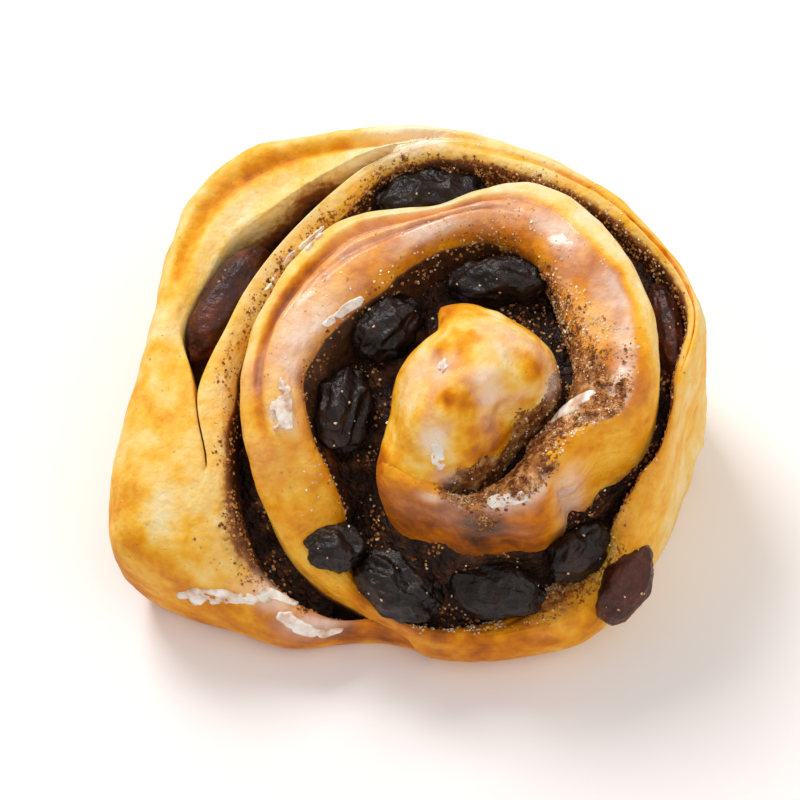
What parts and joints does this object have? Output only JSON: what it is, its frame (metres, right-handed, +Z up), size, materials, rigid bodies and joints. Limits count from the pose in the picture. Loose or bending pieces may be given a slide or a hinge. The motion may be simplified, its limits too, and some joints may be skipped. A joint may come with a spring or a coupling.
{
  "type": "raisin cinnamon bun",
  "caption": "Baked bun of a dough strip rolled up round a dark cinnamon filling, with a domed knob at its middle, raisins between the turns, a low lip in front and an open fold at one side.",
  "frame": {"origin": "under the middle of the bun's footprint box, on the surface it stands on", "axes": "+Z up, -Y towards the low front of the roll, +X to the right as seen from the front"},
  "size_m": [0.073, 0.0632, 0.038],
  "materials": {
    "dough": "baked wheat dough, golden, matt to satin, with a thin glaze",
    "filling": "dark cinnamon sugar filling, grainy and moist",
    "raisin": "dark wrinkled raisin skin, sticky gloss"
  },
  "bodies": {
    "root": {"dough": "dough", "filling": "filling", "raisin_01": "raisin", "raisin_02": "raisin", "raisin_03": "raisin", "raisin_04": "raisin", "raisin_05": "raisin", "raisin_06": "raisin", "raisin_07": "raisin", "raisin_08": "raisin", "raisin_09": "raisin", "raisin_10": "raisin", "raisin_11": "raisin"}
  },
  "joints": []
}
